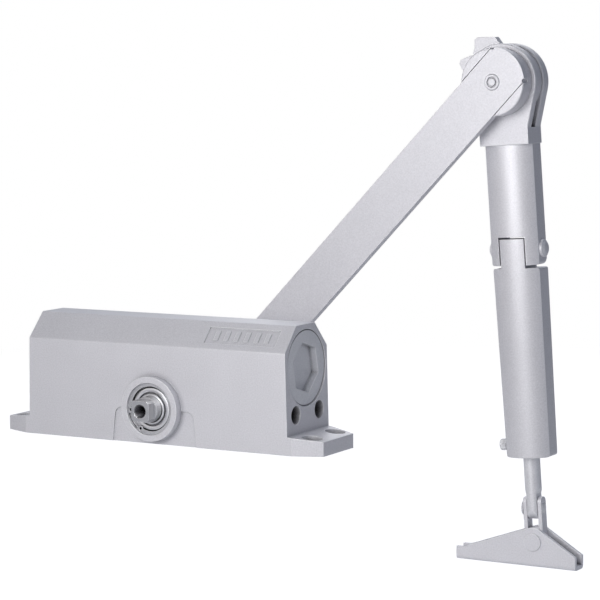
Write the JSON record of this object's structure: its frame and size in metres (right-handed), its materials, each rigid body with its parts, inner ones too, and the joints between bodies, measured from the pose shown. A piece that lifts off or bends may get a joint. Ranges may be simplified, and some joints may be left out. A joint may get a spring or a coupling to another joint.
{
  "type": "door closer",
  "caption": "Surface-mounted rack-and-pinion door closer with a cranked main arm, a hold-open elbow, a telescopic forearm and a folded shoe.",
  "frame": {"origin": "centre of the housing's mounting face", "axes": "+X along the housing towards the valve end, +Y towards the arms along the spindle, +Z away from the mounting face"},
  "size_m": [0.2779, 0.1003, 0.252],
  "materials": {
    "silver_paint": "satin fine texture",
    "plain_steel": "turned",
    "zinc_steel": "bright zinc",
    "dark_steel": "oiled spring steel",
    "cast_iron": "machined",
    "brass": "turned",
    "seal_rubber": "matte"
  },
  "bodies": {
    "housing": {"housing": "silver_paint", "end_plug_right": "silver_paint", "end_plug_left": "silver_paint", "plug_seal_right": "seal_rubber", "plug_seal_left": "seal_rubber", "spindle_bearing_front": "plain_steel", "spindle_bearing_back": "plain_steel", "seal_collar_front": "plain_steel", "seal_collar_back": "plain_steel", "circlip_front": "plain_steel", "circlip_back": "plain_steel", "closing_spring": "dark_steel"},
    "piston": {"piston": "cast_iron", "check_ball": "plain_steel", "check_valve_ring": "brass"},
    "arm": {"spindle": "plain_steel", "main_arm": "silver_paint", "arm_washer": "zinc_steel", "arm_screw": "zinc_steel", "elbow_disc": "silver_paint", "hold_open_cam": "silver_paint", "elbow_rivet": "silver_paint", "elbow_washer": "plain_steel"},
    "closing_valve": {"closing_valve_screw": "brass", "closing_valve_seal": "seal_rubber"},
    "latching_valve": {"latching_valve_screw": "brass", "latching_valve_seal": "seal_rubber"},
    "forearm": {"elbow_clevis": "silver_paint", "upper_sleeve": "silver_paint", "fold_pin": "silver_paint", "hold_open_spring": "dark_steel"},
    "plunger": {"hold_open_plunger": "plain_steel"},
    "lower_forearm": {"lower_tube": "silver_paint"},
    "clamp": {"clamp_screw": "zinc_steel"},
    "rod": {"adjusting_rod": "plain_steel"},
    "fork": {"link_fork": "silver_paint", "link_pin": "zinc_steel"},
    "shoe": {"shoe": "silver_paint", "shoe_pin": "silver_paint"}
  },
  "joints": [
    {"name": "spindle_turn", "type": "hinge", "parent": "housing", "child": "arm", "pos_m": [0, 0, 0.0176], "axis": [0, -1, 0], "range_deg": [0, 135], "stiffness_Nm_per_rad": 6, "springref_deg": -85.94},
    {"name": "piston_slide", "type": "slide", "parent": "housing", "child": "piston", "axis": [-1, 0, 0], "range_m": [0, 0.0213], "deforming": ["closing_spring"]},
    {"name": "closing_valve_turn", "type": "hinge", "parent": "housing", "child": "closing_valve", "pos_m": [0.05825, -0.0111, 0.018], "axis": [1, 0, 0], "range_deg": [-180, 180]},
    {"name": "latching_valve_turn", "type": "hinge", "parent": "housing", "child": "latching_valve", "pos_m": [0.05825, 0.0111, 0.018], "axis": [1, 0, 0], "range_deg": [-180, 180]},
    {"name": "elbow_fold", "type": "hinge", "parent": "arm", "child": "forearm", "pos_m": [0.15053, 0.0572, 0.17293], "axis": [0, -1, 0], "range_deg": [-60, 100]},
    {"name": "plunger_slide", "type": "slide", "parent": "forearm", "child": "plunger", "axis": [0.0671, 0, -0.9977], "range_m": [0, 0.0015], "stiffness_N_per_m": 1500, "springref_m": -0.002, "deforming": ["hold_open_spring"]},
    {"name": "forearm_knuckle", "type": "hinge", "parent": "forearm", "child": "lower_forearm", "pos_m": [0.15585, 0.0602, 0.09381], "axis": [0.9977, 0, 0.0671], "range_deg": [-2, 30]},
    {"name": "rod_slide", "type": "slide", "parent": "lower_forearm", "child": "rod", "axis": [0.0671, 0, -0.9977], "range_m": [-0.01, 0.04]},
    {"name": "clamp_turn", "type": "hinge", "parent": "lower_forearm", "child": "clamp", "pos_m": [0.16213, 0.0602, 0.00052], "axis": [0.9977, 0, 0.0671], "range_deg": [-180, 180]},
    {"name": "fork_swing", "type": "hinge", "parent": "rod", "child": "fork", "pos_m": [0.16419, 0.0602, -0.03011], "axis": [0.9977, 0, 0.0671], "range_deg": [0, 75]},
    {"name": "shoe_turn", "type": "hinge", "parent": "fork", "child": "shoe", "pos_m": [0.16526, 0.0602, -0.04597], "axis": [0, -1, 0], "range_deg": [-45, 60]}
  ],
  "couplings": [
    {"joint": "piston_slide", "follows": "spindle_turn", "m_per_rad": 0.009}
  ]
}
